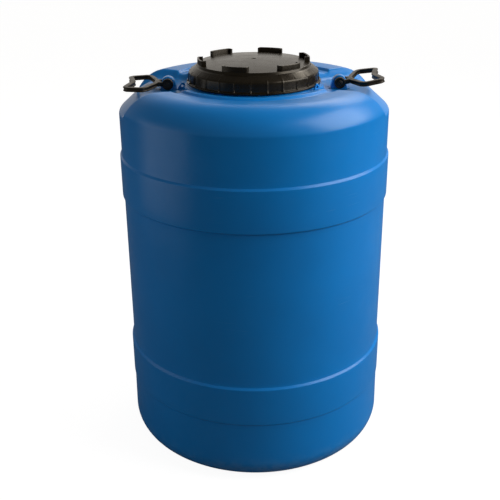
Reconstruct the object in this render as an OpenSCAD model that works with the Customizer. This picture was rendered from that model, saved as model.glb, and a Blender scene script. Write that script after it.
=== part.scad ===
// Wide-mouth plastic drum with a screw lid and two hinged carrying handles.
// Millimetres, +Z up, origin at the centre of the base, handles on the X axis.

/* [Body] */
// radius of the wall between the hoops
wall_r = 187.6; // [170:0.1:200]
// radius over the rolling hoops
hoop_r = 190.1; // [172:0.1:205]
// radius of the rolled base corner
base_corner_r = 34.7; // [10:0.1:60]
// radius of the lower belt
belt_r = 190.8; // [172:0.1:205]
// blown wall thickness
wall_t = 3.0; // [2:0.1:6]
// height of the crest of the shoulder
crest_z = 538; // [450:1:650]
// radius of the crest of the shoulder
crest_r = 150; // [120:1:165]
// radius of the shoulder arc
shoulder_r = 38.2; // [20:0.1:60]
// depth of the push-up in the underside
push_up = 10; // [4:1:25]

/* [Hoops] */
// underside of the lower belt
belt_z0 = 97; // [60:0.5:140]
// top of the lower belt
belt_z1 = 155.5; // [130:0.5:200]
// underside of the upper hoop
hoop_z0 = 380.5; // [300:0.5:420]
// top of the upper hoop
hoop_z1 = 441; // [400:0.5:480]

/* [Neck] */
// outer radius of the neck under its thread
neck_r = 82; // [60:0.1:120]
// radius of the mouth
mouth_r = 78.5; // [50:0.1:118]
// height of the neck's sealing lip
lip_z = 551.5; // [540:0.5:640]
// lead of the thread in one turn
thread_lead = 6; // [4:0.5:16]
// height the thread stands out of its wall
thread_h = 3; // [1:0.1:5]
// height of the middle of the neck's lowest thread step
thread_z = 538.5; // [500:0.5:620]
// width of a thread step at its root
thread_root = 2.2; // [1:0.1:4]
// width of a thread step at its tip
thread_tip = 1.2; // [0.5:0.1:3]
// arc covered by one thread step, in degrees
thread_step = 20; // [10:5:30]
// number of steps in the neck's thread
neck_steps = 32; // [12:1:40]

/* [Lid] */
// inner radius of the lid's skirt
lid_in_r = 86.8; // [70:0.1:120]
// outer radius of the lid's skirt
lid_out_r = 89.3; // [75:0.1:125]
// radius of the rim round the foot of the skirt
lid_foot_r = 92.8; // [80:0.1:130]
// underside of the foot rim
lid_z0 = 535.6; // [500:0.1:600]
// height at which the skirt meets the bevel
lid_bevel_z = 552; // [510:0.5:620]
// height of the edge of the lid's top
lid_top_z = 561.8; // [520:0.1:640]
// radius of the lid's top
lid_top_r = 77.6; // [60:0.1:110]
// rise of the domed top above its edge
dome_h = 4.7; // [0:0.1:12]
// number of ribs round the skirt
rib_count = 26; // [12:1:48]
// number of spanner lugs on the top
lug_count = 6; // [4:1:8]
// height of a spanner lug above the edge of the top
lug_h = 7.2; // [4:0.1:14]
// arc of a spanner lug, in degrees
lug_arc = 26; // [10:1:40]
// first lug's angle from +X, in degrees
lug_start = 10; // [0:1:60]
// number of steps in the lid's thread
lid_steps = 24; // [12:1:30]
// thickness of the sealing ring
gasket_t = 1.9; // [1:0.1:4]

/* [Handles] */
// distance of a handle's hinge from the drum's axis
hinge_x = 118.5; // [100:0.5:150]
// height of the hinge
hinge_z = 534; // [500:0.5:600]
// width of the moulded hinge lug
hinge_lug_w = 12.4; // [8:0.1:20]
// radius of the top of the hinge lug
hinge_lug_r = 9.4; // [6:0.1:14]
// overall width of the handle's fork
fork_w = 25.4; // [18:0.1:36]
// radius of the fork's eyes
fork_r = 7.6; // [5:0.1:12]
// reach from the hinge to the grip's corners
reach = 56; // [40:0.5:80]
// half width of the loop at its widest
loop_w = 42; // [30:0.5:60]
// width of the loop's bars
bar_w = 6.3; // [4:0.1:12]
// height of the loop's bars
bar_h = 6.6; // [4:0.1:12]
// height of each rim above and below the bars' side channels
rim_h = 2.0; // [1:0.1:4]
// depth of the channel along each side of the bars
channel = 0.8; // [0:0.1:2]
// how much wider the grip is than the other bars
grip_more = 1.4; // [0:0.1:4]
// height of the bridge that joins the fork's two sides
bridge_h = 6.2; // [4:0.1:12]
// radius of the hinge pin
pin_r = 3.0; // [2:0.1:5]
// rest angle of the left handle above level, in degrees
tilt_left = -0.6; // [-5:0.1:90]
// rest angle of the right handle above level, in degrees
tilt_right = 8.5; // [-5:0.1:90]

/* [Handle pockets] */
// height of the pocket's floor
pocket_z = 525.5; // [500:0.5:535]
// height at which the pocket's ramp runs out through the wall
ramp_foot_z = 501; // [480:1:510]
// slope of the pocket's outer ramp, in degrees
ramp_a = 42; // [20:1:60]
// radius that rounds the floor over into the ramp
ramp_round_r = 30; // [10:1:60]
// half width of the pocket where its side wall starts
pocket_half_w = 64; // [50:1:80]

/* [Seal points] */
// thickness of the two pierced seal points
seal_t = 2.5; // [1.5:0.1:5]
// radius of the hole through each seal point
seal_hole_r = 1.7; // [1:0.1:3]
// distance of the seal arch to the right of the axis
arch_x = 83; // [60:0.5:110]
// distance of the seal arch behind the axis
arch_y = -54; // [-80:0.5:80]
// angle of the seal arch's plane from the X axis, in degrees
arch_turn = 40; // [-90:1:90]

/* [Hidden] */
$fn = 96;

blue = [0.02, 0.27, 0.62];
black = [0.06, 0.055, 0.05];
grey = [0.2, 0.2, 0.2];
pale = [0.85, 0.85, 0.82];

function arc(cx, cz, r, a0, a1, n) =
  [for (i = [0:n]) [cx + r * cos(a0 + (a1 - a0) * i / n), cz + r * sin(a0 + (a1 - a0) * i / n)]];

// side of the drum from the foot of the base corner to the crest, moved in by t
function side_profile(t) = concat(
  arc(hoop_r + 0.2 - base_corner_r, base_corner_r, base_corner_r - t, -90, 0, 10),
  [[hoop_r - 0.3 - t, belt_z0],
   [belt_r - t, belt_z0 + 2.5],
   [belt_r - t, belt_z1 - 2.8],
   [belt_r - 0.8 - t, belt_z1 - 1.4],
   [wall_r + 0.5 - t, belt_z1],
   [wall_r + 0.2 - t, belt_z1 + 4],
   [wall_r - t, hoop_z0],
   [hoop_r - 0.4 - t, hoop_z0 + 2.4],
   [hoop_r - t, hoop_z0 + 4],
   [hoop_r - t, hoop_z1 - 5],
   [hoop_r - 0.5 - t, hoop_z1 - 2.4],
   [wall_r + 0.4 - t, hoop_z1 - 0.3],
   [wall_r - t, hoop_z1 + 1.5]],
  arc(crest_r, crest_z - shoulder_r, shoulder_r - t, 10.2, 90, 12));

// top of the drum from the crest in to the neck, lowered by t
function top_profile(t) =
  [[134, crest_z - 0.4 - t],
   [130, crest_z - 0.9 - t],
   [127, crest_z - 2.3 - t],
   [124, crest_z - 3.8 - t],
   [120.5, crest_z - 4.3 - t],
   [117, crest_z - 3.7 - t],
   [114, crest_z - 2.3 - t],
   [111, crest_z - 1.6 - t],
   [105, crest_z - 2 - t],
   [100, crest_z - 3.2 - t],
   [97.5, crest_z - 5.4 - t]];

module drum_outside() {
  rotate_extrude()
    polygon(concat(
      [[0, push_up], [126, push_up], [133, push_up - 2], [141, 0]],
      side_profile(0),
      top_profile(0),
      [[96, crest_z - 7],
       [95.4, crest_z - 5.6],
       [94.4, crest_z - 5.2],
       [93.4, crest_z - 5.6],
       [92.8, crest_z - 4.4],
       [91.6, crest_z - 4],
       [90.6, crest_z - 4.4],
       [89.6, crest_z - 3.4],
       [neck_r + 1, crest_z - 3.2],
       [neck_r, crest_z - 2.2],
       [neck_r, lip_z - 1],
       [neck_r - 1, lip_z],
       [0, lip_z]]));
}

module drum_inside() {
  rotate_extrude()
    polygon(concat(
      [[0, push_up + wall_t], [127, push_up + wall_t], [135.5, push_up + wall_t - 3], [143, wall_t]],
      side_profile(wall_t),
      top_profile(wall_t),
      [[94, crest_z - 10],
       [mouth_r + 3, crest_z - 10],
       [mouth_r, crest_z - 7],
       [mouth_r, lip_z - 1],
       [mouth_r + 0.8, lip_z + 1],
       [0, lip_z + 1]]));
}

// floor and outer ramp of a handle pocket, sunk t into the wall
function pocket_profile(t) = let (
    edge_r = wall_r - (pocket_z - ramp_foot_z) / tan(ramp_a),
    turn_r = edge_r - ramp_round_r * tan(ramp_a / 2),
    out = 10)
  concat(
    [[80, pocket_z - t]],
    arc(turn_r, pocket_z - ramp_round_r, ramp_round_r - t, 90, 90 - ramp_a, 6),
    [[wall_r + out - t * sin(ramp_a), ramp_foot_z - out * tan(ramp_a) - t * cos(ramp_a)],
     [wall_r + 40, ramp_foot_z],
     [wall_r + 40, crest_z + 60],
     [80, crest_z + 60]]);

// one sloping side wall of a pocket: everything beyond it is kept out of the pocket
module pocket_cheek(s, t) {
  translate([100, s * pocket_half_w, crest_z])
    rotate([0, 0, s * 23.7])
      rotate([s * -35, 0, 0])
        translate([-150, s > 0 ? t : -200 - t, -150])
          cube([400, 200, 300]);
}

module pocket(t) {
  difference() {
    rotate([0, 0, -45])
      rotate_extrude(angle = 90)
        polygon(pocket_profile(t));
    pocket_cheek(1, t);
    pocket_cheek(-1, t);
    cylinder(h = 2000, r = 96 - t, center = true);
  }
}

// moulded lug that carries a handle
module hinge_lug() {
  rotate([90, 0, 0])
    linear_extrude(height = hinge_lug_w, center = true)
      difference() {
        union() {
          translate([hinge_x, hinge_z])
            circle(r = hinge_lug_r);
          polygon([[hinge_x - 12.5, pocket_z - 1.5],
                   [hinge_x + 10.5, pocket_z - 1.5],
                   [hinge_x + 9.2, hinge_z - 1.9],
                   [hinge_x - 8.9, hinge_z + 3]]);
        }
        translate([hinge_x, hinge_z])
          circle(r = pin_r + 0.05);
      }
}

// pierced fin between the neck and the left hinge lug, for a seal wire
module seal_eye() {
  translate([0, seal_t / 2, 0])
    rotate([90, 0, 0])
      linear_extrude(height = seal_t)
        difference() {
          polygon([[-95, crest_z - 7], [-95, crest_z - 14], [-106.5, crest_z - 14],
                   [-106.5, pocket_z + 0.6], [-99.8, crest_z - 3.6], [-97.2, crest_z - 3.6]]);
          translate([-99.2, crest_z - 8.1])
            circle(r = seal_hole_r);
        }
}

// pierced arch beside the lid at the front right, for a seal wire
module seal_arch() {
  translate([arch_x, arch_y, 0])
    rotate([0, 0, arch_turn])
      translate([0, seal_t / 2, 0])
        rotate([90, 0, 0])
          linear_extrude(height = seal_t)
            difference() {
              polygon([[-5.2, crest_z - 8], [5.2, crest_z - 8], [5.2, crest_z - 3.4],
                       [1.8, crest_z + 4.6], [-1.8, crest_z + 4.6], [-5.2, crest_z - 3.4]]);
              translate([0, crest_z + 0.2])
                circle(r = seal_hole_r);
            }
}

// interrupted thread: short level steps that climb one lead in each turn
module thread(r_in, r_out, z0, first, steps) {
  for (i = [first : first + steps - 1])
    translate([0, 0, z0 + i * thread_step / 360 * thread_lead])
      rotate([0, 0, i * thread_step])
        rotate_extrude(angle = thread_step - 3.5)
          polygon([[r_in, -thread_root / 2], [r_out, -thread_tip / 2],
                   [r_out, thread_tip / 2], [r_in, thread_root / 2]]);
}

module drum_body() {
  color(blue)
    difference() {
      union() {
        difference() {
          drum_outside();
          pocket(0);
          mirror([1, 0, 0]) pocket(0);
        }
        hinge_lug();
        mirror([1, 0, 0]) hinge_lug();
        seal_eye();
        seal_arch();
        thread(neck_r - 0.5, neck_r + thread_h, thread_z, 0, neck_steps);
      }
      difference() {
        drum_inside();
        pocket(wall_t);
        mirror([1, 0, 0]) pocket(wall_t);
      }
    }
}

module lid_shell() {
  rotate_extrude()
    polygon(concat(
      [[lid_in_r, lid_z0],
       [lid_foot_r - 0.5, lid_z0],
       [lid_foot_r, lid_z0 + 0.6],
       [lid_foot_r, lid_z0 + 1.8],
       [lid_foot_r - 0.7, lid_z0 + 2.5],
       [lid_out_r + 0.6, lid_z0 + 2.9],
       [lid_out_r, lid_bevel_z - 1.6]],
      arc(lid_out_r - 4, lid_bevel_z - 1.6, 4, 8, 42, 4),
      [[lid_top_r + 3.4, lid_bevel_z + 5.4],
       [lid_top_r + 1.2, lid_bevel_z + 6.8],
       [lid_top_r + 0.4, lid_top_z - 2.4],
       [lid_top_r, lid_top_z - 0.6],
       [lid_top_r - 0.7, lid_top_z]],
      [for (i = [1:8]) let (q = (lid_top_r - 0.7) * (1 - i / 9)) [q, dome_z(q)]],
      [[3, dome_z(3)], [2.2, dome_z(0) - 0.9], [0, dome_z(0) - 0.9],
       [0, dome_z(0) - 3.6], [40, dome_z(40) - 3], [69.5, dome_z(69.5) - 3.1],
       [74.3, lip_z + 5.3], [76.8, lip_z + 3.4], [76.8, lip_z + 2],
       [85, lip_z + 2], [85, lip_z - 0.3], [lid_in_r, lip_z - 1.9]]));
}

function dome_z(q) = lid_top_z + dome_h * (1 - pow(q / (lid_top_r - 0.7), 2));

module lid_rib() {
  rotate([90, 0, 0])
    linear_extrude(height = 1.3, center = true)
      polygon([[lid_out_r - 1.5, lid_z0 + 1.6],
               [lid_foot_r - 0.1, lid_z0 + 1.6],
               [lid_out_r + 2.1, lid_z0 + 5],
               [lid_out_r + 0.9, lid_bevel_z - 1],
               [lid_out_r - 1.5, lid_bevel_z + 1]]);
}

module spanner_lug() {
  translate([0, 0, lid_top_z - 0.8])
    rotate([0, 0, -lug_arc / 2])
      rotate_extrude(angle = lug_arc)
        translate([lid_top_r - 3.2, 0])
          square([3, lug_h + 0.8]);
  for (s = [-1, 1])
    rotate([0, 0, s * (lug_arc / 2 - 1.1)])
      translate([lid_top_r - 10.4, -1.45, lid_top_z - 0.8])
        cube([9, 2.9, lug_h + 0.6]);
}

module screw_lid() {
  color(black) {
    lid_shell();
    for (i = [0 : rib_count - 1])
      rotate([0, 0, -93 + i * 360 / rib_count])
        lid_rib();
    for (i = [0 : lug_count - 1])
      rotate([0, 0, lug_start + i * 360 / lug_count])
        spanner_lug();
    thread(lid_in_r + 0.5, lid_in_r - thread_h - 0.5, thread_z - thread_lead / 2, 6, lid_steps);
  }
}

module lid_gasket() {
  color(pale)
    rotate_extrude()
      translate([77.2, lip_z + 0.05])
        square([7.4, gasket_t]);
}

// middle line of the handle's loop, anticlockwise from the bridge's -Y side
function loop_plan() =
  let (side = [[15.5, 6.5], [27, loop_w - 5], [32.5, loop_w], [reach - 3.5, loop_w - 5], [reach, loop_w - 9]])
  concat([for (p = side) [p[0], -p[1]]], [[reach - 8, 0]], [for (i = [4:-1:0]) side[i]]);

function outward(a, b) = [b[1] - a[1], a[0] - b[0]] / norm(b - a);

// outline of the loop a distance d outside its middle line, and further out by more at the grip
function loop_edge(d, more) =
  let (p = loop_plan(), n = len(p))
  [for (i = [0:n - 1])
     let (before = outward(p[(i + n - 1) % n], p[i]), after = outward(p[i], p[(i + 1) % n]),
          out = d + (p[i][0] > reach - 9 && abs(p[i][1]) < loop_w - 8 ? more : 0))
     p[i] + (before + after) * out / (1 + before * after)];

module loop(w, h) {
  linear_extrude(height = h, center = true)
    difference() {
      polygon(loop_edge(w / 2, grip_more / 2));
      polygon(loop_edge(-w / 2, -grip_more / 2));
    }
}

// handle lying level, hinge on the Y axis, loop towards +X; its bars have a channel along each side
module handle() {
  fork_y = (fork_w + hinge_lug_w) / 4 + 0.1;
  fork_t = (fork_w - hinge_lug_w) / 2 - 0.3;
  difference() {
    union() {
      for (s = [-1, 1]) {
        translate([0, s * fork_y, 0])
          rotate([90, 0, 0])
            cylinder(h = fork_t, r = fork_r, center = true);
        translate([0, s * fork_y - fork_t / 2, 0.3 - bridge_h / 2])
          cube([14, fork_t, bridge_h - 0.6]);
        translate([0, 0, s * (bar_h - rim_h) / 2])
          loop(bar_w, rim_h);
      }
      loop(bar_w - 2 * channel, bar_h - rim_h);
      translate([10.6, 0.7 - fork_w / 2, -bridge_h / 2])
        cube([8.6, fork_w - 1.4, bridge_h]);
    }
    rotate([90, 0, 0])
      cylinder(h = fork_w + 2, r = pin_r + 0.1, center = true);
    for (s = [-1, 1])
      translate([0, s * (fork_w / 2 + 0.9), 0])
        rotate([90, 0, 0])
          cylinder(h = 6, r = 5.6, center = true);
  }
}

// hinge pin with its head on the -Y side and its split end on the +Y side
module hinge_pin() {
  head_y = fork_w / 2 - 2;
  difference() {
    union() {
      translate([0, head_y, 0])
        rotate([90, 0, 0])
          cylinder(h = 2 * head_y, r = pin_r);
      translate([0, -head_y, 0])
        rotate([90, 0, 0])
          cylinder(h = 1.5, r = 5.2);
      translate([0, -head_y - 1.4, 0])
        rotate([90, 0, 0])
          cylinder(h = 0.7, r = 2.4);
      translate([0, head_y + 0.2, 0])
        rotate([-90, 0, 0])
          cylinder(h = 2.2, r1 = 4.3, r2 = 3);
      translate([0, head_y - 0.2, 0])
        rotate([-90, 0, 0])
          cylinder(h = 0.6, r = 3);
    }
    translate([0, head_y, 0])
      cube([1.5, 9, 12], center = true);
  }
}

module handle_left() {
  color(black)
    translate([-hinge_x, 0, hinge_z])
      mirror([1, 0, 0])
        rotate([0, -tilt_left, 0])
          handle();
}

module handle_right() {
  color(black)
    translate([hinge_x, 0, hinge_z])
      rotate([0, -tilt_right, 0])
        handle();
}

module handle_pin_left() {
  color(grey)
    translate([-hinge_x, 0, hinge_z])
      hinge_pin();
}

module handle_pin_right() {
  color(grey)
    translate([hinge_x, 0, hinge_z])
      rotate([0, 0, 180])
        rotate([0, 35, 0])
          hinge_pin();
}

drum_body();
screw_lid();
lid_gasket();
handle_left();
handle_right();
handle_pin_left();
handle_pin_right();
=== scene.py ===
"""Wide-mouth plastic drum with a screw lid and two hinged handles: looks, built round the CAD frame.

The frame is in metres, +Z up, with the base on z = 0 and the handles on the X axis. Pieces are worked
out in millimetres and scaled by MM when their meshes are made.
"""
import math

import bmesh
import bpy
import numpy as np
from mathutils import Matrix, Vector


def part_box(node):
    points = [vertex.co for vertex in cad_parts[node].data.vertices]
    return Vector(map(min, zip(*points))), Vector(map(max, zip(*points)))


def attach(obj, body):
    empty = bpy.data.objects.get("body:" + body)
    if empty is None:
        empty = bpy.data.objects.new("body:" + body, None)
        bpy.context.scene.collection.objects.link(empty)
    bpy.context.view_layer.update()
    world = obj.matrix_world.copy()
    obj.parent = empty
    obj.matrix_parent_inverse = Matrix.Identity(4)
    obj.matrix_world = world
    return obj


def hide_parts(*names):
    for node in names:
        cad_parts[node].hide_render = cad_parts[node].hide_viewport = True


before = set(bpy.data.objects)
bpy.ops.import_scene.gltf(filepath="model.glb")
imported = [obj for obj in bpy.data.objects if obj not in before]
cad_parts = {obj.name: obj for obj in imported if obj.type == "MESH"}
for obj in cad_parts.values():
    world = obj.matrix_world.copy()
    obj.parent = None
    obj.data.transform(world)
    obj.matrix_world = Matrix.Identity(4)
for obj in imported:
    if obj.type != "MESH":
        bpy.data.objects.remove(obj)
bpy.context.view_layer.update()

MM = 0.001


def box_mm(node):
    """Lowest and highest corner of a CAD node, in millimetres."""
    low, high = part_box(node)
    return np.array(low) / MM, np.array(high) / MM


# ---------------------------------------------------------------- dimensions

BODY_HIGH = box_mm("drum_body")[1]
LID_LOW, LID_HIGH = box_mm("screw_lid")
SEAL_LOW, SEAL_HIGH = box_mm("lid_gasket")
PIN_LOW, PIN_HIGH = box_mm("handle_pin_right")

SKIN = 0.12                                # kept inside the CAD box by this much
BELT_R = min(BODY_HIGH[0], BODY_HIGH[1]) - SKIN
HOOP_R = BELT_R - 0.6
WALL_R = BELT_R - 3.1
WALL_T = 3.0
LIP_Z = BODY_HIGH[2] - 0.02
CREST_Z = LIP_Z - 13.5
CREST_R = 150.0
SHOULDER_R = 38.2
NECK_R = 82.0
MOUTH_R = 78.5
BASE_CORNER_R = 34.7
PUSH_UP = 10.0
BELT_Z0, BELT_Z1 = 97.0, 155.5
HOOP_Z0, HOOP_Z1 = 380.5, 441.0
SHOULDER_FOOT_Z = 498.0

POCKET_Z = CREST_Z - 12.5
RAMP_FOOT_Z = CREST_Z - 37.0
RAMP_A = math.radians(42)
CHEEK_AT = (100.0, 64.0)
CHEEK_TURN = math.radians(23.7)
CHEEK_LEAN = math.radians(35)
COLLAR_R = 96.0
SEAL_T = 2.5
SEAL_HOLE_R = 1.7
EYE_HOLE = (-99.2, CREST_Z - 8.1)
ARCH_HOLE = (0, CREST_Z + 0.2)             # along the arch's own plane, and up
ARCH_AT = (83.0, -54.0)
ARCH_TURN = math.radians(40)

HINGE_X, HINGE_Z = ((PIN_LOW + PIN_HIGH) / 2)[[0, 2]]
LUG_W = 12.4
LUG_R = 9.4
FORK_W = 25.4
FORK_R = 7.6
PIN_R = 3.0
PIN_TURN = math.radians(38)                # how far the pin's slot is turned from level
TILT = {"left": math.radians(-0.6), "right": math.radians(8.5)}

LID_FOOT_R = LID_HIGH[0] - 0.05
LID_Z0 = LID_LOW[2]
SPANNER_LUG_H = 7.2
LID_TOP_Z = LID_HIGH[2] - SPANNER_LUG_H
LID_TOP_R = 77.6
LID_OUT_R = LID_FOOT_R - 3.45
LID_IN_R = 86.8
LID_BEVEL_Z = LID_Z0 + 16.4
DOME_H = 4.7
RIBS = 26
RIB_START = math.radians(-93)
LUGS = 6
LUG_START = math.radians(10)
SPANNER_LUG_HALF = math.radians(12.6)
GASKET_IN_R = 77.2
LEAD = 6.0
THREAD_Z = CREST_Z + 0.5

DIM, BRIGHT = 0.18, 0.80                   # strength of the world in front of the drum and behind it
WARM_WHITE = (1, 0.95, 0.88, 1)


# ---------------------------------------------------------------- outlines

def arc(cx, cy, r, a0, a1, n):
    """n + 1 points along an arc, angles in degrees."""
    return [(cx + r * math.cos(math.radians(a0 + (a1 - a0) * i / n)),
             cy + r * math.sin(math.radians(a0 + (a1 - a0) * i / n))) for i in range(n + 1)]


def rounded(points, closed=False, steps=5):
    """Turns (x, y, radius) corners into arcs; a corner with no radius stays sharp."""
    out = []
    count = len(points)
    for i, corner in enumerate(points):
        here = np.array(corner[:2], float)
        radius = corner[2] if len(corner) > 2 else 0
        if radius <= 0 or (not closed and i in (0, count - 1)):
            out.append(tuple(here))
            continue
        to_a = np.array(points[i - 1][:2], float) - here
        to_b = np.array(points[(i + 1) % count][:2], float) - here
        len_a, len_b = np.linalg.norm(to_a), np.linalg.norm(to_b)
        to_a, to_b = to_a / len_a, to_b / len_b
        half = math.acos(max(-1.0, min(1.0, float(to_a @ to_b)))) / 2
        if half > math.radians(89):
            out.append(tuple(here))
            continue
        cut = min(radius / math.tan(half), 0.49 * len_a, 0.49 * len_b)
        radius = cut * math.tan(half)
        middle = (to_a + to_b) / np.linalg.norm(to_a + to_b)
        centre = here + middle * radius / math.sin(half)
        start, end = here + to_a * cut - centre, here + to_b * cut - centre
        a0 = math.atan2(start[1], start[0])
        turn = math.atan2(start[0] * end[1] - start[1] * end[0], float(start @ end))
        for k in range(steps + 1):
            a = a0 + turn * k / steps
            out.append((centre[0] + radius * math.cos(a), centre[1] + radius * math.sin(a)))
    return out


def spaced(points, step):
    """Adds points so that no gap along an open outline is longer than step."""
    out = [points[0]]
    for a, b in zip(points, points[1:]):
        parts = max(1, math.ceil(math.dist(a, b) / step))
        out += [(a[0] + (b[0] - a[0]) * k / parts, a[1] + (b[1] - a[1]) * k / parts)
                for k in range(1, parts + 1)]
    return out


# ---------------------------------------------------------------- meshes

class Shells:
    """Closed surfaces, in millimetres, gathered into one object."""

    def __init__(self):
        self.verts = []
        self.faces = []

    def grid(self, rows, wrap_rows=False, caps=False):
        """Joins rows of points (rows, columns, 3) with faces. Columns always close on themselves."""
        rows = np.asarray(rows, float)
        base = len(self.verts)
        n, m = rows.shape[:2]
        self.verts += [tuple(v) for v in rows.reshape(-1, 3)]
        for i in range(n if wrap_rows else n - 1):
            a, b = base + i * m, base + (i + 1) % n * m
            self.faces += [(a + j, a + (j + 1) % m, b + (j + 1) % m, b + j) for j in range(m)]
        if caps:
            self.faces.append(tuple(base + j for j in reversed(range(m))))
            self.faces.append(tuple(base + (n - 1) * m + j for j in range(m)))

    def lathe(self, profile, angles, place, shape=None):
        """Turns (radius, height) points round an axis. Ends at radius 0 close in a point."""
        profile = np.array(profile, float)
        r, h = profile[:, :1], profile[:, 1:]
        local = np.stack([r * np.cos(angles), r * np.sin(angles), h + 0 * angles], -1)
        if shape:
            local = shape(local)
        self.grid(place(local), wrap_rows=math.dist(profile[0], profile[-1]) < 1e-6)

    def slab(self, outline, half, edge, place, steps=3):
        """An outline given thickness 2 * half, with its edges rounded."""
        outline = np.array(outline, float)
        ahead = np.roll(outline, -1, 0) - outline
        ahead /= np.linalg.norm(ahead, axis=1, keepdims=True)
        normal = np.stack([ahead[:, 1], -ahead[:, 0]], 1)
        normal = normal + np.roll(normal, 1, 0)
        normal /= np.maximum((normal ** 2).sum(1, keepdims=True) / 2, 0.3)
        turns = [math.pi / 2 * k / steps for k in range(steps + 1)]
        rings = [(edge * (1 - math.sin(a)), -half + edge * (1 - math.cos(a))) for a in turns]
        rings += [(inset, -w) for inset, w in reversed(rings)]
        rows = [np.c_[outline - normal * inset, np.full(len(outline), w)] for inset, w in rings]
        self.grid(place(np.array(rows)), caps=True)

    def add(self, other, place):
        """Takes in another set of surfaces, moved by place."""
        base = len(self.verts)
        self.verts += [tuple(v) for v in place(np.array(other.verts))]
        self.faces += [tuple(base + i for i in face) for face in other.faces]

    def sweep(self, path, across, up, section, scale=None, closed=False):
        """Moves a section of (across, up) points along a path of 3-D points."""
        path, section = np.array(path, float), np.array(section, float)
        scale = np.ones((len(path), 2)) if scale is None else np.array(scale, float)
        rows = path[:, None] + across[:, None] * (section[None, :, :1] * scale[:, None, :1])
        rows = rows + up[:, None] * (section[None, :, 1:] * scale[:, None, 1:])
        self.grid(rows, wrap_rows=closed, caps=not closed)

    def object(self, name, body, material, nodes=(), split=40):
        """Makes the surfaces one piece that rides on a body and stands in for CAD nodes."""
        mesh = bpy.data.meshes.new(name)
        mesh.from_pydata([(x * MM, y * MM, z * MM) for x, y, z in self.verts], [], self.faces)
        bm = bmesh.new()
        bm.from_mesh(mesh)
        bmesh.ops.remove_doubles(bm, verts=bm.verts, dist=1e-7)
        bmesh.ops.recalc_face_normals(bm, faces=bm.faces)
        sharp = math.radians(split)
        for edge in bm.edges:
            edge.smooth = not (len(edge.link_faces) == 2 and edge.calc_face_angle(0) > sharp)
        for face in bm.faces:
            face.smooth = True
        bm.to_mesh(mesh)
        bm.free()
        mesh.materials.append(material)
        piece = bpy.data.objects.new(name, mesh)
        bpy.context.scene.collection.objects.link(piece)
        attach(piece, body)
        if nodes:
            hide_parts(*nodes)
        return piece


def smooth_max(a, b, k):
    """The larger of two distances, rounded over a width k where they cross."""
    near = np.maximum(k - np.abs(a - b), 0) / k
    return np.maximum(a, b) + near * near * k / 4


def turn_angles(count):
    """Directions spread evenly round an axis."""
    return np.linspace(0, 2 * math.pi, count, endpoint=False)


def upright(local):
    """Leaves a piece turned round the drum's own axis."""
    return local


# ---------------------------------------------------------------- materials

class Nodes:
    """A material's node tree, with short calls for the nodes used here."""

    def __init__(self, name):
        self.material = bpy.data.materials.new(name)
        self.material.use_nodes = True
        self.tree = self.material.node_tree
        self.shader = self.tree.nodes["Principled BSDF"]
        self.where = self.tree.nodes.new("ShaderNodeTexCoord").outputs["Object"]

    def link(self, output, target):
        """Joins an output to an input."""
        self.tree.links.new(output, target)

    def scaled(self, x, y, z):
        """Object coordinates, stretched."""
        node = self.tree.nodes.new("ShaderNodeMapping")
        node.inputs["Scale"].default_value = (x, y, z)
        self.link(self.where, node.inputs["Vector"])
        return node.outputs["Vector"]

    def noise(self, scale, detail=2.0, rough=0.5, vector=None):
        """Noise from 0 to 1, over object coordinates if no others are given."""
        node = self.tree.nodes.new("ShaderNodeTexNoise")
        node.inputs["Scale"].default_value = scale
        node.inputs["Detail"].default_value = detail
        node.inputs["Roughness"].default_value = rough
        self.link(vector or self.where, node.inputs["Vector"])
        return node.outputs["Fac"]

    def band(self, value, low, high, out_low=0.0, out_high=1.0):
        """Smooth step from out_low at low to out_high at high."""
        node = self.tree.nodes.new("ShaderNodeMapRange")
        node.interpolation_type = "SMOOTHSTEP"
        for socket, number in (("From Min", low), ("From Max", high),
                               ("To Min", out_low), ("To Max", out_high)):
            node.inputs[socket].default_value = number
        self.link(value, node.inputs["Value"])
        return node.outputs["Result"]

    def math(self, operation, a, b):
        """A sum of two values, each a number or an output."""
        node = self.tree.nodes.new("ShaderNodeMath")
        node.operation = operation
        for socket, value in zip(node.inputs, (a, b)):
            if isinstance(value, (int, float)):
                socket.default_value = value
            else:
                self.link(value, socket)
        return node.outputs[0]

    def height(self):
        """Height above the floor, in metres."""
        node = self.tree.nodes.new("ShaderNodeSeparateXYZ")
        self.link(self.where, node.inputs[0])
        return node.outputs["Z"]

    def mix(self, amount, a, b):
        """Colour between a and b, each a tuple or an output."""
        node = self.tree.nodes.new("ShaderNodeMix")
        node.data_type = "RGBA"
        self.link(amount, node.inputs["Factor"])
        for socket, colour in ((node.inputs["A"], a), (node.inputs["B"], b)):
            if isinstance(colour, tuple):
                socket.default_value = (*colour, 1)
            else:
                self.link(colour, socket)
        return node.outputs["Result"]

    def bump(self, layers):
        """layers: (height output, depth in metres), fine ones last."""
        normal = None
        for value, depth in layers:
            node = self.tree.nodes.new("ShaderNodeBump")
            node.inputs["Strength"].default_value = 1.0
            node.inputs["Distance"].default_value = depth
            self.link(value, node.inputs["Height"])
            if normal:
                self.link(normal, node.inputs["Normal"])
            normal = node.outputs["Normal"]
        self.link(normal, self.shader.inputs["Normal"])


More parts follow.
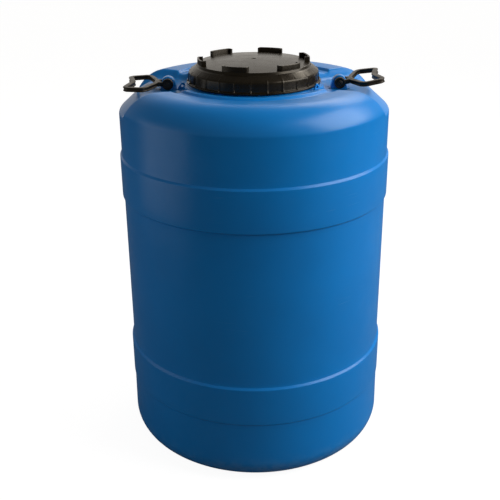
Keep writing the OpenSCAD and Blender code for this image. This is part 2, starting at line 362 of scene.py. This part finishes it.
def blown_plastic():
    """Satin blue polyethylene: faint waviness, fine grain, scuffs and a worn base."""
    n = Nodes("blue_polyethylene")
    cloud = n.noise(7, 3, 0.55)
    fine = n.noise(1400, 2, 0.5)
    mottled = n.mix(n.band(cloud, 0.3, 0.7), (0.0, 0.205, 0.62), (0.0, 0.222, 0.665))
    streak = n.noise(1, 4, 0.6, n.scaled(9, 9, 620))
    patch = n.noise(16, 2, 0.5)
    rub = n.math("MULTIPLY", n.band(streak, 0.60, 0.72), n.band(patch, 0.60, 0.70))
    low = n.band(n.height(), 0.05, 0.004)
    worn = n.math("MULTIPLY", n.band(n.noise(60, 5, 0.65), 0.42, 0.62), low)
    marks = n.math("MAXIMUM", n.math("MULTIPLY", rub, 0.22), n.math("MULTIPLY", worn, 0.3))
    n.link(n.mix(marks, mottled, (0.20, 0.42, 0.72)), n.shader.inputs["Base Color"])
    rough = n.band(n.noise(38, 3, 0.6), 0.3, 0.7, 0.29, 0.35)
    n.link(n.math("ADD", rough, n.math("MULTIPLY", worn, 0.06)), n.shader.inputs["Roughness"])
    n.shader.inputs["IOR"].default_value = 1.5
    n.shader.inputs["Specular IOR Level"].default_value = 0.38
    n.bump([(n.noise(14, 1.5, 0.4), 0.0011), (n.noise(600, 2, 0.6), 0.00004), (fine, 0.00002)])
    return n.material


def moulded_black(name, tint, rough_low, rough_high, grain):
    """Injection-moulded black plastic with a fine spark-eroded grain and faint handling marks."""
    n = Nodes(name)
    lighter = tuple(c * 1.8 for c in tint)
    n.link(n.mix(n.band(n.noise(45, 4, 0.6), 0.35, 0.7), tint, lighter), n.shader.inputs["Base Color"])
    hazy = n.band(n.noise(70, 4, 0.65), 0.3, 0.7, rough_low, rough_high)
    n.link(hazy, n.shader.inputs["Roughness"])
    n.shader.inputs["IOR"].default_value = 1.5
    n.shader.inputs["Specular IOR Level"].default_value = 0.34
    n.shader.inputs["Specular Tint"].default_value = (1, 0.90, 0.74, 1)
    n.bump([(n.noise(90, 2, 0.5), 0.00006), (n.noise(grain, 2, 0.5), 0.000010)])
    return n.material


def foam_ring():
    """Soft off-white sealing foam."""
    n = Nodes("sealing_foam")
    n.link(n.mix(n.noise(400, 3, 0.6), (0.62, 0.61, 0.57), (0.74, 0.73, 0.70)),
           n.shader.inputs["Base Color"])
    n.link(n.band(n.noise(900, 2, 0.5), 0.3, 0.7, 0.7, 0.85), n.shader.inputs["Roughness"])
    n.bump([(n.noise(2200, 2, 0.5), 0.00006)])
    return n.material


def pale_floor():
    """Floor that the camera sees nearly white, and that throws back less light than it shows."""
    n = Nodes("pale_floor")
    n.link(n.mix(n.noise(3, 2, 0.5), (0.17, 0.17, 0.17), (0.185, 0.185, 0.185)),
           n.shader.inputs["Base Color"])
    n.shader.inputs["Roughness"].default_value = 0.9
    n.shader.inputs["Specular IOR Level"].default_value = 0.1
    n.shader.inputs["Emission Color"].default_value = (1, 1, 1, 1)
    seen = n.tree.nodes.new("ShaderNodeLightPath").outputs["Is Camera Ray"]
    n.link(n.math("MULTIPLY", seen, 0.94), n.shader.inputs["Emission Strength"])
    return n.material


BLUE = blown_plastic()
LID_BLACK = moulded_black("lid_black", (0.006, 0.0042, 0.002), 0.24, 0.31, 1500)
HANDLE_BLACK = moulded_black("handle_black", (0.010, 0.0075, 0.005), 0.30, 0.40, 1100)
PIN_BLACK = moulded_black("pin_black", (0.020, 0.017, 0.014), 0.30, 0.42, 1600)
FOAM = foam_ring()


# ---------------------------------------------------------------- body

def side_outline(t):
    """Side of the drum from the foot of the base corner up to the crest, moved in by t."""
    corner_r = HOOP_R + 0.2 - BASE_CORNER_R
    belt = rounded([(HOOP_R + 0.2 - t, BASE_CORNER_R),
                    (HOOP_R - 0.5 - t, BELT_Z0 - 0.4, 1.0),
                    (BELT_R - t, BELT_Z0 + 1.2, 1.2),
                    (BELT_R - t, BELT_Z1 - 1.9, 1.6),
                    (WALL_R + 0.4 - t, BELT_Z1 + 0.9, 1.4),
                    (WALL_R + 0.1 - t, BELT_Z1 + 4.5, 3),
                    (WALL_R - t, HOOP_Z0 + 0.1, 1.2),
                    (HOOP_R - t, HOOP_Z0 + 2.1, 1.6),
                    (HOOP_R - t, HOOP_Z1 - 1.8, 1.6),
                    (WALL_R + 0.1 - t, HOOP_Z1 + 1.0, 1.4),
                    (WALL_R - t, HOOP_Z1 + 5.0, 2),
                    (WALL_R - t, SHOULDER_FOOT_Z)])
    return (arc(corner_r, BASE_CORNER_R, BASE_CORNER_R - t, -90, 0, 16)[:-1] + belt
            + arc(CREST_R, CREST_Z - SHOULDER_R, SHOULDER_R - t, 10.2, 90, 32))


def top_outline(t):
    """Top of the drum from the crest in to the neck, lowered by t."""
    drops = [(136, 0.2, 6), (130.2, 0.6, 1.0), (126.4, 4.0, 1.2), (120.5, 4.9, 6), (114.8, 4.0, 1.2),
             (111.4, 1.1, 1.0), (104, 1.4, 6), (98.8, 3.2, 2.2)]
    return [(r, CREST_Z - drop - t, radius) for r, drop, radius in drops]


def outside_outline():
    """Outside of the body in two parts: up the side to the crest, then in to the mouth's bore."""
    base = rounded([(0, PUSH_UP), (127, PUSH_UP, 14), (142, 0, 9), (HOOP_R + 0.2 - BASE_CORNER_R, 0)])
    collar = [(96.2, CREST_Z - 6.8, 1.5), (94.9, CREST_Z - 5.0, 0.9), (93.7, CREST_Z - 5.9, 0.5),
              (92.5, CREST_Z - 4.1, 0.9), (91.2, CREST_Z - 4.9, 0.5), (89.9, CREST_Z - 3.1, 0.9),
              (NECK_R, CREST_Z - 3.1, 2.2), (NECK_R, LIP_Z, 1.3), (MOUTH_R, LIP_Z, 1.3)]
    crest = side_outline(0)
    top = rounded([crest[-1] + (0,)] + top_outline(0) + collar + [(MOUTH_R, CREST_Z - 7.5)], steps=4)
    return base[:-1] + crest, top[1:]


def inside_outline():
    """From the mouth's bore down to the middle of the floor, inside."""
    t = WALL_T
    neck = [(MOUTH_R, CREST_Z - 7.5), (MOUTH_R, CREST_Z - 10.2, 3), (94, CREST_Z - 10.4, 3)]
    top = [(r, z, k) for r, z, k in reversed(top_outline(t))]
    side = list(reversed(side_outline(t)))
    into = rounded(neck + top + [side[0] + (0,)], steps=3)
    base = rounded([(HOOP_R + 0.2 - BASE_CORNER_R, t), (143.5, t, 8), (128.5, PUSH_UP + t, 12),
                    (0, PUSH_UP + t)])
    return into[1:] + side[1:] + base


def pocket_distance(points, sunk):
    """Distance outside (+) or inside (-) the space of the two handle pockets."""
    x, y, z = np.abs(points[..., 0]), np.abs(points[..., 1]), points[..., 2]
    r = np.hypot(x, y)
    floor = z - POCKET_Z + sunk
    ramp = (r - WALL_R) * math.sin(RAMP_A) + (z - RAMP_FOOT_Z) * math.cos(RAMP_A) + sunk
    above = smooth_max(floor, ramp, 5.0)
    cheek = (-(x - CHEEK_AT[0]) * math.sin(CHEEK_TURN) * math.cos(CHEEK_LEAN)
             + (y - CHEEK_AT[1]) * math.cos(CHEEK_TURN) * math.cos(CHEEK_LEAN)
             - (z - CREST_Z) * math.sin(CHEEK_LEAN)) - sunk
    collar = COLLAR_R + 0.8 - sunk - r
    return smooth_max(smooth_max(-above, cheek, 9.0), collar, 3.0)


def press_pockets(sunk, edge_k):
    """Pushes the points of a plain turned body in to the pockets, with soft edges."""
    def shape(local):
        flat = local.reshape(-1, 3)
        zone = (flat[:, 2] > RAMP_FOOT_Z - 14) & (np.abs(flat[:, 0]) > 60)
        zone &= np.hypot(flat[:, 0], flat[:, 1]) > COLLAR_R - sunk - 2
        p = flat[zone]
        r = np.hypot(p[:, 0], p[:, 1])
        core_z = CREST_Z - SHOULDER_R
        inward = np.minimum(CREST_R - r, 0)
        down = np.minimum(core_z - p[:, 2], 0)
        length = np.maximum(np.hypot(inward, down), 1e-9)
        direction = np.c_[p[:, 0] / r * inward / length, p[:, 1] / r * inward / length, down / length]
        near, far = np.zeros(len(p)), np.full(len(p), 32.0)
        for _ in range(26):
            middle = (near + far) / 2
            gap = -pocket_distance(p + direction * middle[:, None], sunk)
            outside = smooth_max(-middle, gap, edge_k) > 1e-4
            near, far = np.where(outside, middle, near), np.where(outside, far, middle)
        depth = (near + far) / 2
        depth = np.where(depth < 1e-3, 0, depth)
        flat[zone] = p + direction * depth[:, None]
        return flat.reshape(local.shape)
    return shape


def body_angles(fine, coarse, reach=42):
    """Directions round the body, closer together across each pocket."""
    out = []
    for start in (-reach, 180 - reach):
        out += list(np.arange(start, start + 2 * reach, fine))
        out += list(np.arange(start + 2 * reach, start + 180, coarse))
    return np.radians(np.array(out))


def drum_body():
    """The blow-moulded body, closed inside and out, with its two handle pockets pressed in."""
    lower, top = outside_outline()
    outside = spaced(lower, 14)
    shoulder = [p for p in outside if p[1] > RAMP_FOOT_Z - 16 and p[0] > CREST_R - 1]
    outside = [p for p in outside if p not in shoulder]
    outer = spaced(outside + [shoulder[0]], 14)[:-1] + spaced(shoulder, 1.9)
    outer += spaced([shoulder[-1]] + top, 1.9)[1:]
    inner = inside_outline()
    inner_top = [p for p in inner if p[1] > RAMP_FOOT_Z - 16]
    inner_low = [p for p in inner if p[1] <= RAMP_FOOT_Z - 16]
    inner = spaced([outer[-1]] + inner_top, 3.2)[1:] + spaced([inner_top[-1]] + inner_low, 30)[1:]
    angles = body_angles(0.6, 1.5)
    outer_rows = len(outer)
    press_outer, press_inner = press_pockets(0, 2.6), press_pockets(WALL_T, 3.0)

    def shape(local):
        return np.concatenate([press_outer(local[:outer_rows].copy()),
                               press_inner(local[outer_rows:].copy())])

    shells = Shells()
    shells.lathe(outer + inner, angles, upright, shape)
    return shells.object("drum_shell", "drum", BLUE, ["drum_body"], split=60)


def helix(radius, z0, first_turn, turns, rows=40):
    """Path of a thread wound round the axis, with its directions and its thinning at both ends."""
    steps = int(turns * rows) + 1
    around = np.linspace(first_turn, first_turn + turns, steps)
    a = around * 2 * math.pi
    path = np.c_[radius * np.cos(a), radius * np.sin(a), z0 + around * LEAD]
    out = np.c_[np.cos(a), np.sin(a), 0 * a]
    up = np.tile([0.0, 0.0, 1.0], (steps, 1))
    ends = np.minimum((around - first_turn) / 0.06, (first_turn + turns - around) / 0.06)
    ends = np.clip(ends, 0.08, 1)
    return path, out, up, np.c_[ends, 0.4 + 0.6 * ends]


def neck_thread():
    """Thread wound round the neck."""
    tooth = rounded([(-0.6, -1.1), (2.9, -0.55, 0.35), (2.9, 0.55, 0.35), (-0.6, 1.1)], closed=True)
    shells = Shells()
    path, out, up, scale = helix(NECK_R, THREAD_Z, 0.0, 1.72)
    shells.sweep(path, out, up, tooth, scale)
    return shells.object("neck_thread", "drum", BLUE)


def hinge_lug(side):
    """Moulded lug that the handle's fork straddles, flared where it runs into the pocket floor."""
    sign = 1 if side == "right" else -1
    foot = POCKET_Z - 0.8
    outline = [(15.5, foot - HINGE_Z), (11.5, foot + 1.6 - HINGE_Z), (9.6, -3.0)]
    outline += arc(0, 0, LUG_R, -8, 164, 22)
    outline += [(-11.8, foot + 2.2 - HINGE_Z), (-16.5, foot - HINGE_Z)]
    shells = Shells()

    def place(local):
        u, v, w = local[..., 0], local[..., 1], local[..., 2]
        spread = 1 + 0.22 * np.clip((foot + 3.0 - HINGE_Z - v) / 3.0, 0, 1) ** 2
        return np.stack([sign * (HINGE_X + u), w * spread, HINGE_Z + v], -1)

    shells.slab(spaced(outline + [outline[0]], 1.2)[:-1], LUG_W / 2, 1.3, place)
    return shells.object(f"hinge_lug_{side}", "drum", BLUE)


def seal_eye():
    """Pierced fin on the left, between the neck and the hinge lug."""
    low, high = POCKET_Z - 0.8, CREST_Z - 3.7
    outline = rounded([(-95.2, low), (-106.3, low), (-106.3, POCKET_Z + 0.6, 0.8), (-99.9, high, 1.2),
                       (-97.1, high, 1.2), (-95.4, EYE_HOLE[1] + 2, 1.5)], True)
    shells = Shells()
    pierced_plate(shells, outline, EYE_HOLE, lambda p: np.stack([p[..., 0], p[..., 2], p[..., 1]], -1))
    return shells.object("seal_eye", "drum", BLUE)


def seal_arch():
    """Pierced arch that stands beside the lid at the front right."""
    low, high = CREST_Z - 7.5, CREST_Z + 4.55
    outline = rounded([(-5.2, low), (5.2, low), (5.1, CREST_Z - 3.4, 1.5), (1.8, high, 1.2),
                       (-1.8, high, 1.2), (-5.1, CREST_Z - 3.4, 1.5)], True)
    cos_a, sin_a = math.cos(ARCH_TURN), math.sin(ARCH_TURN)

    def place(local):
        along, up, through = local[..., 0], local[..., 1], local[..., 2]
        return np.stack([ARCH_AT[0] + along * cos_a - through * sin_a,
                         ARCH_AT[1] + along * sin_a + through * cos_a, up], -1)

    shells = Shells()
    pierced_plate(shells, outline, ARCH_HOLE, place)
    return shells.object("seal_arch", "drum", BLUE)


def pierced_plate(shells, outline, hole, place, edge=0.45):
    """Adds a seal point's flat plate, with rounded edges and the hole for the wire."""
    half = SEAL_T / 2
    outline = np.array(spaced(list(outline) + [outline[0]], 0.7)[:-1])
    bearing = np.arctan2(outline[:, 1] - hole[1], outline[:, 0] - hole[0])
    rim = np.array(hole) + SEAL_HOLE_R * np.c_[np.cos(bearing), np.sin(bearing)]
    away = outline - rim
    away /= np.linalg.norm(away, axis=1, keepdims=True)
    steps = [math.pi / 2 * k / 3 for k in range(4)]
    rounding = [(edge * (1 - math.sin(a)), -half + edge * (1 - math.cos(a))) for a in steps]
    rounding += [(inset, -w) for inset, w in reversed(rounding)]
    outer = [np.c_[outline - away * inset, np.full(len(outline), w)] for inset, w in rounding]
    inner = [np.c_[rim + away * inset, np.full(len(rim), w)] for inset, w in reversed(rounding)]
    shells.grid(place(np.array(outer + inner)), wrap_rows=True)


# ---------------------------------------------------------------- lid

def dome_z(r):
    """Height of the lid's domed top at a distance from the axis."""
    return LID_TOP_Z + DOME_H * (1 - (r / (LID_TOP_R - 0.7)) ** 2)


def lid_outline():
    """Outside of the lid from its foot to the dimple in the middle of its top."""
    outer = [(LID_IN_R, LID_Z0), (LID_FOOT_R, LID_Z0, 0.7), (LID_FOOT_R, LID_Z0 + 2.4, 0.8),
             (LID_OUT_R + 0.7, LID_Z0 + 3.0, 0.8), (LID_OUT_R, LID_BEVEL_Z - 0.6, 3.2),
             (LID_TOP_R + 3.4, LID_BEVEL_Z + 5.6, 3.5), (LID_TOP_R + 1.1, LID_BEVEL_Z + 6.7, 0.9),
             (LID_TOP_R + 0.3, LID_TOP_Z, 1.1)]
    crown = [(r, dome_z(r)) for r in np.linspace(LID_TOP_R - 2.0, 4.2, 16)]
    gate = [(3.2, dome_z(3.2), 0.3), (2.7, dome_z(0) - 1.7, 0.4), (1.0, dome_z(0) - 1.7, 0.3),
            (0.7, dome_z(0) - 1.1, 0.2), (0, dome_z(0) - 1.1)]
    outer = rounded(outer + [crown[0] + (0,)])
    return outer[:-1] + crown + rounded([crown[-1] + (0,)] + gate)[1:]


def lid_underside():
    """Inside of the lid from its middle to the foot of its skirt."""
    under = [(0, dome_z(0) - 3.4), (40, dome_z(40) - 3), (69.5, dome_z(69.5) - 3.1, 3),
             (74.3, LIP_Z + 5.3, 1.5), (76.8, LIP_Z + 3.4, 0.6), (76.8, LIP_Z + 2.04, 0),
             (85, LIP_Z + 2.04, 0.4), (85, LIP_Z - 0.3, 0.6), (LID_IN_R, LIP_Z - 1.9, 0.8),
             (LID_IN_R, LID_Z0)]
    return rounded(under)


def lid_angles():
    """Directions round the lid, close together at each rib."""
    pitch = 2 * math.pi / RIBS
    near = [math.radians(d) for d in (-0.95, -0.62, -0.4, -0.2, 0, 0.2, 0.4, 0.62, 0.95)]
    between = [near[-1] + (pitch - 2 * near[-1]) * k / 7 for k in range(1, 7)]
    return np.array([RIB_START + i * pitch + a for i in range(RIBS) for a in near + between])


def raise_ribs(local):
    """Lets thin ribs stand out of the skirt, deepest at the foot."""
    r = np.hypot(local[..., 0], local[..., 1])
    z = local[..., 2]
    angle = np.arctan2(local[..., 1], local[..., 0]) - RIB_START
    pitch = 2 * math.pi / RIBS
    off = np.abs((angle + pitch / 2) % pitch - pitch / 2) * r
    crest = np.clip((1.15 - off) / 0.75, 0, 1)
    crest = crest * crest * (3 - 2 * crest)
    rib_line = [(LID_Z0 + 1.8, LID_FOOT_R), (LID_Z0 + 2.6, LID_FOOT_R - 0.1),
                (LID_Z0 + 5.0, LID_OUT_R + 1.5), (LID_BEVEL_Z - 2, LID_OUT_R + 0.5),
                (LID_BEVEL_Z + 1.5, LID_OUT_R - 1.2)]
    target = np.interp(z, *zip(*rib_line))
    on_skirt = (r > LID_IN_R + 1.2) & (z > rib_line[0][0]) & (z < rib_line[-1][0])
    reach = np.where(on_skirt, np.maximum(target - r, 0) * crest, 0)
    grow = (r + reach) / np.maximum(r, 1e-9)
    return np.stack([local[..., 0] * grow, local[..., 1] * grow, z], -1)


def screw_lid():
    """Cap with a ribbed skirt, a bevel and a domed top."""
    outer = lid_outline()
    skirt = [p for p in outer if p[1] < LID_BEVEL_Z + 2 and p[0] > LID_IN_R + 0.5]
    rest = outer[len(skirt) + 1:]
    dense = spaced([outer[0]] + skirt, 1.3)
    crown = spaced([dense[-1]] + rest, 6)[1:]
    shells = Shells()
    shells.lathe(dense + crown + spaced(lid_underside(), 8), lid_angles(), upright, raise_ribs)
    return shells.object("lid_shell", "lid", LID_BLACK, ["screw_lid"], split=50)


def spanner_lugs():
    """Six C-shaped walls on the lid that a drum key turns."""
    shells = Shells()
    reach, inner = LID_TOP_R - 1.7, LID_TOP_R - 9.6
    foot = LID_TOP_Z - 1.5
    height = LID_HIGH[2] - SKIN / 2 - foot
    section = rounded([(-1.45, 0), (1.45, 0), (1.3, height, 0.7), (-1.3, height, 0.7)], True)
    for i in range(LUGS):
        middle = LUG_START + i * 2 * math.pi / LUGS
        bow = [(reach * math.cos(a), reach * math.sin(a))
               for a in (SPANNER_LUG_HALF * k / 8 for k in range(-8, 9))]
        ends = [(inner, bow[0][1] * 0.995), (inner, bow[-1][1] * 0.995)]
        plan = [ends[0] + (0,)] + [bow[0] + (2.2,)] + [p + (0,) for p in bow[1:-1]]
        plan += [bow[-1] + (2.2,)] + [ends[1] + (0,)]
        plan = np.array(spaced(rounded(plan), 1.5))
        cos_m, sin_m = math.cos(middle), math.sin(middle)
        plan = plan @ np.array([[cos_m, sin_m], [-sin_m, cos_m]])
        ahead = np.gradient(plan, axis=0)
        ahead /= np.linalg.norm(ahead, axis=1, keepdims=True)
        path = np.c_[plan, np.full(len(plan), foot)]
        across = np.c_[ahead[:, 1], -ahead[:, 0], np.zeros(len(plan))]
        up = np.tile([0.0, 0.0, 1.0], (len(plan), 1))
        shells.sweep(path, across, up, section)
    return shells.object("spanner_lugs", "lid", LID_BLACK)


def lid_thread():
    """Thread wound inside the lid's skirt, half a lead below the neck's."""
    tooth = rounded([(0.6, -1.1), (-2.9, -0.55, 0.35), (-2.9, 0.55, 0.35), (0.6, 1.1)], closed=True)
    shells = Shells()
    path, out, up, scale = helix(LID_IN_R, THREAD_Z - LEAD / 2, 0.34, 1.3)
    shells.sweep(path, out, up, tooth, scale)
    return shells.object("lid_thread", "lid", LID_BLACK)


def gasket():
    """Flat sealing ring that lies on the lip of the neck."""
    low, high = SEAL_LOW[2] + 0.02, SEAL_HIGH[2] - 0.02
    inner, outer, edge = GASKET_IN_R, SEAL_HIGH[0] - 0.05, 0.35
    ring = [(inner, low, edge), (outer, low, edge), (outer, high, edge), (inner, high, edge)]
    outline = rounded(ring, True, 3)
    shells = Shells()
    shells.lathe(outline + [outline[0]], turn_angles(180), upright)
    return shells.object("sealing_ring", "seal", FOAM, ["lid_gasket"])


# ---------------------------------------------------------------- handles

LOOP = [(15.5, 6.5, 5), (26.8, 36.8, 4), (32.5, 42, 5), (52.3, 37.2, 4), (55.6, 32.6, 3), (48.4, 0, 9)]


def bar_section(width, height, groove):
    """Moulded bar with a shallow channel along each side."""
    w, h, g = width / 2, height / 2, height * 0.27
    right = [(w, -h, 1.5), (w, -g, 0.5), (w - groove, -g * 0.55, 0.5), (w - groove, g * 0.55, 0.5),
             (w, g, 0.5), (w, h, 1.5)]
    return rounded(right + [(-x, -y, k) for x, y, k in right], True, 3)


def handle_place(side):
    """Puts points of a level handle, hinge on the Y axis and loop towards +X, where the handle is."""
    sign = 1 if side == "right" else -1
    cos_t, sin_t = math.cos(TILT[side]), math.sin(TILT[side])

    def place(local):
        x, y, z = local[..., 0], local[..., 1], local[..., 2]
        out, up = x * cos_t - z * sin_t, x * sin_t + z * cos_t
        return np.stack([sign * (HINGE_X + out), y, HINGE_Z + up], -1)

    return place


def loop_bar():
    """The loop's closed bar, thicker along the grip and at the fork."""
    plan = rounded(LOOP + [(x, -y, k) for x, y, k in reversed(LOOP[:-1])], True, 6)
    plan = np.array(spaced(plan + [plan[0]], 1.6)[:-1])
    ahead = np.roll(plan, -1, 0) - np.roll(plan, 1, 0)
    ahead /= np.linalg.norm(ahead, axis=1, keepdims=True)
    grip = np.clip((plan[:, 0] - 46.0) / 4, 0, 1) * np.clip((34 - np.abs(plan[:, 1])) / 6, 0, 1)
    root = np.clip((24 - plan[:, 0]) / 6, 0, 1)
    scale = np.c_[1 + 0.22 * grip + 0.1 * root, 1 + 0.08 * grip - 0.04 * root]
    across = np.c_[ahead[:, 1], -ahead[:, 0], np.zeros(len(plan))]
    up = np.tile([0.0, 0.0, 1.0], (len(plan), 1))
    bar = Shells()
    path = np.c_[plan, np.zeros(len(plan))]
    bar.sweep(path, across, up, bar_section(5.9, 6.1, 0.7), scale, closed=True)
    return bar


def fork_rib(s):
    """Rib that crosses from one side of the fork to the other side's bar."""
    rib = np.array(spaced([(12.4, -s * 8.0), (21.5, s * 21.0)], 1.5))
    lead = (rib[-1] - rib[0]) / np.linalg.norm(rib[-1] - rib[0])
    ridge = Shells()
    ridge.sweep(np.c_[rib, np.zeros(len(rib))], np.tile([lead[1], -lead[0], 0.0], (len(rib), 1)),
                np.tile([0.0, 0.0, 1.0], (len(rib), 1)), bar_section(2.6, 6.5, 0.2))
    return ridge


def handle(side):
    """Carrying handle: loop, two fork eyes with their arms, crossed ribs and a bridge."""
    place = handle_place(side)
    shells = Shells()
    shells.add(loop_bar(), place)
    inner, outer, seat = LUG_W / 2 + 0.3, FORK_W / 2 - 0.05, FORK_W / 2 - 2.1
    bore_r, recess_r = PIN_R + 0.15, 5.65
    eye = rounded([(bore_r, inner, 0.3), (FORK_R, inner, 0.5), (FORK_R, outer, 1.1),
                   (recess_r, outer, 0.4), (recess_r, seat, 0.2), (bore_r, seat, 0.2)], True)
    arm = [(6.0, -3.0), (13.5, -3.0), (13.5, 3.0), (6.0, 3.0)]
    for s in (-1, 1):
        def place_eye(p, s=s):
            return place(np.stack([p[..., 0], s * p[..., 2], p[..., 1]], -1))

        def place_arm(p, s=s):
            return place(np.stack([p[..., 0], s * (seat + inner) / 2 + p[..., 2], p[..., 1]], -1))

        shells.lathe(eye + [eye[0]], turn_angles(56), place_eye)
        shells.slab(arm, (seat - inner) / 2, 0.5, place_arm)
        shells.add(fork_rib(s), place)
    near, far = 10.7, 19.0
    bridge = [(near, -FORK_W / 2 + 0.9, 1.0), (far, -FORK_W / 2 + 1.5, 3), (far, FORK_W / 2 - 1.5, 3),
              (near, FORK_W / 2 - 0.9, 1.0)]
    shells.slab(rounded(bridge, True), 2.6, 1.0, place)
    return shells.object(f"handle_loop_{side}", f"{side}_handle", HANDLE_BLACK,
                         [f"handle_{side}"], split=45)


def hinge_pin(side):
    """Pin with a ringed head at one end and a split snap end at the other."""
    head = -1 if side == "left" else 1
    sign = 1 if side == "right" else -1
    cos_t, sin_t = math.cos(PIN_TURN), math.sin(PIN_TURN)

    def place(local):
        x, y, h = local[..., 0], local[..., 1], local[..., 2]
        u, v = x * cos_t - y * sin_t, x * sin_t + y * cos_t
        return np.stack([sign * HINGE_X + u, head * h, HINGE_Z + v], -1)

    body = [(0, -10.2), (PIN_R, -10.2, 0.3), (PIN_R, 10.7, 0), (5.1, 10.7, 0.3), (5.1, 12.1, 0.5),
            (4.3, 12.1, 0.3), (4.0, 11.2, 0.2), (2.7, 11.2, 0.2), (2.4, 12.3, 0.5), (0, 12.3)]
    shells = Shells()
    shells.lathe(rounded(body), turn_angles(48), place)
    half_round = rounded([(0.75, 3.95, 0.3)] + [p + (0,) for p in arc(0, 0, 4.0, 70, -70, 10)]
                         + [(0.75, -3.95, 0.3)], True)
    for s in (-1, 1):
        def snap(p, s=s):
            taper = 1 - 0.12 * np.clip(-p[..., 2], 0, 2)
            return place(np.stack([s * p[..., 0] * taper, p[..., 1] * taper, p[..., 2] - 11.4], -1))

        shells.slab(list(reversed(half_round)), 1.2, 0.45, snap)
    return shells.object(f"hinge_pin_{side}", "drum", PIN_BLACK, [f"handle_pin_{side}"])


# ---------------------------------------------------------------- studio

def floor(reach=6.0):
    """Square of floor under the drum."""
    mesh = bpy.data.meshes.new("floor")
    corners = [(-reach, -reach, 0), (reach, -reach, 0), (reach, reach, 0), (-reach, reach, 0)]
    mesh.from_pydata(corners, [], [(0, 1, 2, 3)])
    mesh.materials.append(pale_floor())
    piece = bpy.data.objects.new("floor", mesh)
    bpy.context.scene.collection.objects.link(piece)


def world_light():
    """World that is dim on the camera's side and bright behind the drum."""
    world = bpy.data.worlds.new("studio")
    bpy.context.scene.world = world
    bpy.context.scene.view_settings.view_transform = "Standard"
    world.use_nodes = True
    tree = world.node_tree
    tree.nodes["Background"].inputs["Color"].default_value = WARM_WHITE
    where = tree.nodes.new("ShaderNodeTexCoord")
    split = tree.nodes.new("ShaderNodeSeparateXYZ")
    tree.links.new(where.outputs["Generated"], split.inputs[0])
    ramp = tree.nodes.new("ShaderNodeMapRange")
    ramp.interpolation_type = "SMOOTHSTEP"
    for socket, number in (("From Min", 0.55), ("From Max", 0.97), ("To Min", DIM), ("To Max", BRIGHT)):
        ramp.inputs[socket].default_value = number
    tree.links.new(split.outputs["Y"], ramp.inputs["Value"])
    tree.links.new(ramp.outputs["Result"], tree.nodes["Background"].inputs["Strength"])


def softbox(name, azimuth, elevation, distance, width, height, radiance,
            aim=(0, 0, 0.3), tint=(1, 1, 1)):
    """Area light, in metres. Azimuth 0 is on the camera's side (-Y), positive to the right (+X)."""
    data = bpy.data.lights.new(name, "AREA")
    data.shape = "RECTANGLE"
    data.size, data.size_y = width, height
    data.energy = radiance * math.pi * width * height
    data.color = tint
    lamp = bpy.data.objects.new(name, data)
    bpy.context.scene.collection.objects.link(lamp)
    a, e = math.radians(azimuth), math.radians(elevation)
    offset = Vector((math.sin(a) * math.cos(e), -math.cos(a) * math.cos(e), math.sin(e))) * distance
    lamp.location = Vector(aim) + offset
    lamp.rotation_euler = (-offset).to_track_quat("-Z", "Y").to_euler()


def camera():
    """Camera at the photograph's viewing angle."""
    data = bpy.data.cameras.new("camera")
    data.sensor_width = 36
    data.lens = 60.53
    data.clip_end = 20
    cam = bpy.data.objects.new("camera", data)
    bpy.context.scene.collection.objects.link(cam)
    look_down, roll = math.radians(23.193), math.radians(-0.523)
    tilt = Matrix.Rotation(math.radians(90) - look_down, 4, "X")
    eye = Matrix.Translation((-0.00732, -1.16396, 0.7792))
    cam.matrix_world = eye @ tilt @ Matrix.Rotation(roll, 4, "Z")
    bpy.context.scene.camera = cam


camera()
floor()
world_light()
softbox("key_right", 80, 32, 1.7, 1.45, 1.4, 5.0, tint=(1, 0.98, 0.96))
softbox("back_right", 146, 41, 1.7, 1.0, 0.5, 4.5, aim=(0, 0, 0.5), tint=(1, 0.93, 0.82))
softbox("left_panel", -74, 0, 0.85, 0.7, 0.5, 0.75, aim=(0, 0, 0.38))

drum_body()
neck_thread()
for side in ("left", "right"):
    hinge_lug(side)
    handle(side)
    hinge_pin(side)
seal_eye()
seal_arch()
screw_lid()
spanner_lugs()
lid_thread()
gasket()
